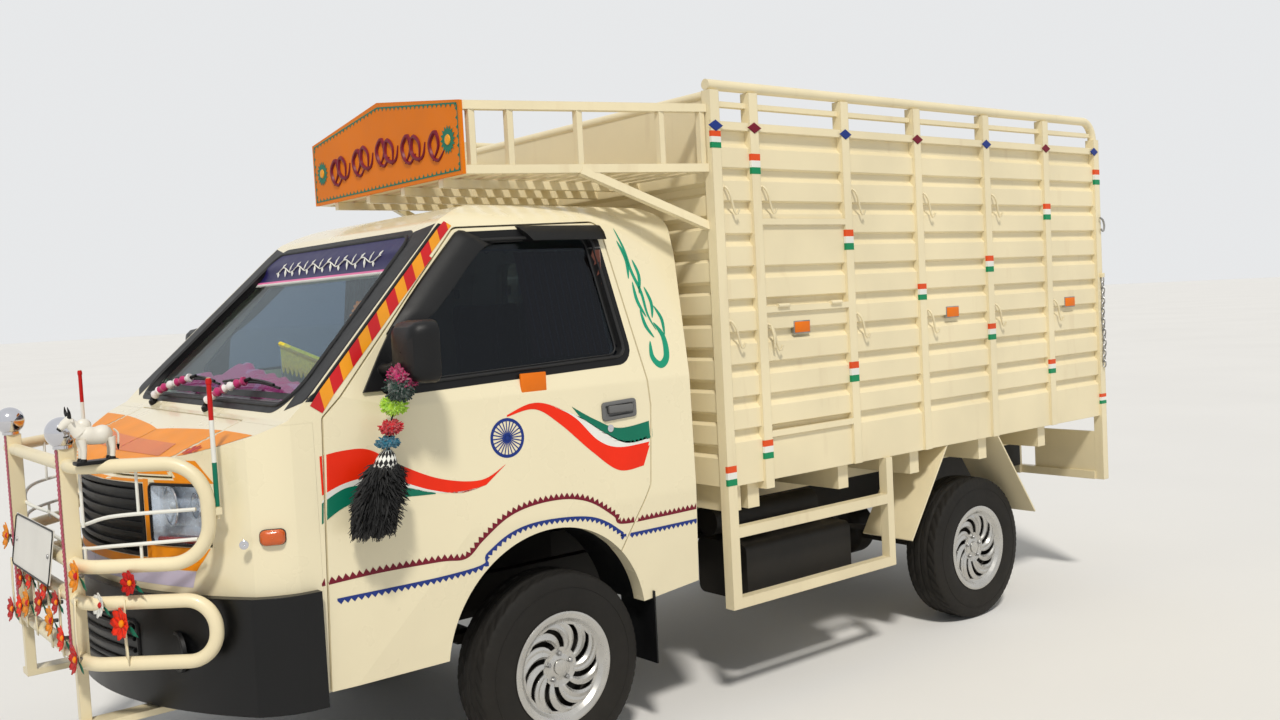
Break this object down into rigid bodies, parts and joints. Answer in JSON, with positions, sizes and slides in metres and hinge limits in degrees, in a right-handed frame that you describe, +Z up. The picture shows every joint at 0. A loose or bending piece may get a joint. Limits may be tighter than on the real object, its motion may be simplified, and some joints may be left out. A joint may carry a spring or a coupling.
{
  "type": "decorated light goods truck",
  "caption": "Small two-seat goods truck with a high-sided open load body, a rack with a sign board over the cab, and a tubular front guard.",
  "frame": {"origin": "on the ground under the middle of the overall length and width", "axes": "+X towards the truck's left, +Y towards its rear, +Z up"},
  "size_m": [2.02, 4.8299, 2.342],
  "materials": {
    "black_plastic": "satin",
    "body_paint": "gloss",
    "chassis_black": "satin",
    "chrome": "polished",
    "glass": "gloss",
    "lamp": "gloss",
    "orange_plastic": "gloss",
    "plate_white": "satin",
    "seat_cloth": "matte",
    "sign_paint": "gloss",
    "tail_lamp": "gloss",
    "tyre": "matte",
    "wheel_cover": "satin"
  },
  "bodies": {
    "truck": {"arch_liners": "black_plastic", "cab_body": "body_paint", "cab_floor": "body_paint", "cab_glass": "glass", "cab_nose": "body_paint", "chassis_frame": "chassis_black", "dashboard": "black_plastic", "engine": "chassis_black", "front_axle": "chassis_black", "front_bumper": "black_plastic", "front_guard": "body_paint", "fuel_tank": "chassis_black", "grille": "black_plastic", "guard_balls": "chrome", "guard_loops": "body_paint", "guide_poles": "body_paint", "headboard": "body_paint", "headlamps": "lamp", "leaf_springs": "chassis_black", "left_side": "body_paint", "load_floor": "body_paint", "mudguards": "body_paint", "number_plate": "plate_white", "propeller_shaft": "chassis_black", "rear_axle": "chassis_black", "rear_bumper": "body_paint", "right_side": "body_paint", "roof_rack": "body_paint", "seats": "seat_cloth", "side_indicators": "orange_plastic", "sign_board": "sign_paint", "silencer": "chassis_black", "spare_wheel": "tyre", "tail_lamps": "tail_lamp"},
    "left_door": {"left_door": "body_paint", "left_door_glass": "glass", "left_mirror": "black_plastic"},
    "right_door": {"right_door": "body_paint", "right_door_glass": "glass", "right_mirror": "black_plastic"},
    "bonnet": {"bonnet": "body_paint"},
    "tailgate": {"tailgate": "body_paint"},
    "left_rear_door": {"left_rear_door": "body_paint"},
    "right_rear_door": {"right_rear_door": "body_paint"},
    "steering_wheel": {"steering_wheel": "black_plastic"},
    "left_knuckle": {"left_knuckle": "chassis_black"},
    "right_knuckle": {"right_knuckle": "chassis_black"},
    "front_left_wheel": {"front_left_wheel": "chassis_black", "front_left_tyre": "tyre", "front_left_cover": "wheel_cover"},
    "front_right_wheel": {"front_right_wheel": "chassis_black", "front_right_tyre": "tyre", "front_right_cover": "wheel_cover"},
    "rear_left_wheel": {"rear_left_wheel": "chassis_black", "rear_left_tyre": "tyre", "rear_left_cover": "wheel_cover"},
    "rear_right_wheel": {"rear_right_wheel": "chassis_black", "rear_right_tyre": "tyre", "rear_right_cover": "wheel_cover"}
  },
  "joints": [
    {"name": "left_steering", "type": "hinge", "parent": "truck", "child": "left_knuckle", "pos_m": [0.61, -0.97, 0.325], "axis": [0, 0, 1], "range_deg": [-32, 32]},
    {"name": "right_steering", "type": "hinge", "parent": "truck", "child": "right_knuckle", "pos_m": [-0.61, -0.97, 0.325], "axis": [0, 0, 1], "range_deg": [-32, 32]},
    {"name": "steering_column", "type": "hinge", "parent": "truck", "child": "steering_wheel", "pos_m": [-0.385, -1.47, 1.205], "axis": [0, 0.5736, 0.8192], "range_deg": [-480, 480]},
    {"name": "front_left_wheel_spin", "type": "hinge", "parent": "left_knuckle", "child": "front_left_wheel", "pos_m": [0.705, -0.97, 0.325], "axis": [1, 0, 0], "continuous": true},
    {"name": "rear_left_wheel_spin", "type": "hinge", "parent": "truck", "child": "rear_left_wheel", "pos_m": [0.705, 1.38, 0.325], "axis": [1, 0, 0], "continuous": true},
    {"name": "front_right_wheel_spin", "type": "hinge", "parent": "right_knuckle", "child": "front_right_wheel", "pos_m": [-0.705, -0.97, 0.325], "axis": [1, 0, 0], "continuous": true},
    {"name": "rear_right_wheel_spin", "type": "hinge", "parent": "truck", "child": "rear_right_wheel", "pos_m": [-0.705, 1.38, 0.325], "axis": [1, 0, 0], "continuous": true},
    {"name": "left_door_hinge", "type": "hinge", "parent": "truck", "child": "left_door", "pos_m": [0.8, -1.804, 0.9], "axis": [0, 0, -1], "range_deg": [0, 65]},
    {"name": "right_door_hinge", "type": "hinge", "parent": "truck", "child": "right_door", "pos_m": [-0.8, -1.804, 0.9], "axis": [0, 0, 1], "range_deg": [0, 65]},
    {"name": "bonnet_hinge", "type": "hinge", "parent": "truck", "child": "bonnet", "pos_m": [0, -1.896, 1.255], "axis": [-1, 0, 0], "range_deg": [0, 55]},
    {"name": "tailgate_hinge", "type": "hinge", "parent": "truck", "child": "tailgate", "pos_m": [0, 2.407, 0.872], "axis": [-1, 0, 0], "range_deg": [0, 90]},
    {"name": "left_rear_door_hinge", "type": "hinge", "parent": "truck", "child": "left_rear_door", "pos_m": [0.822, 2.407, 1.8], "axis": [0, 0, -1], "range_deg": [0, 180]},
    {"name": "right_rear_door_hinge", "type": "hinge", "parent": "truck", "child": "right_rear_door", "pos_m": [-0.822, 2.407, 1.8], "axis": [0, 0, 1], "range_deg": [0, 180]}
  ],
  "couplings": [
    {"joint": "right_steering", "follows": "left_steering", "ratio": 1},
    {"joint": "steering_column", "follows": "left_steering", "ratio": 14}
  ]
}
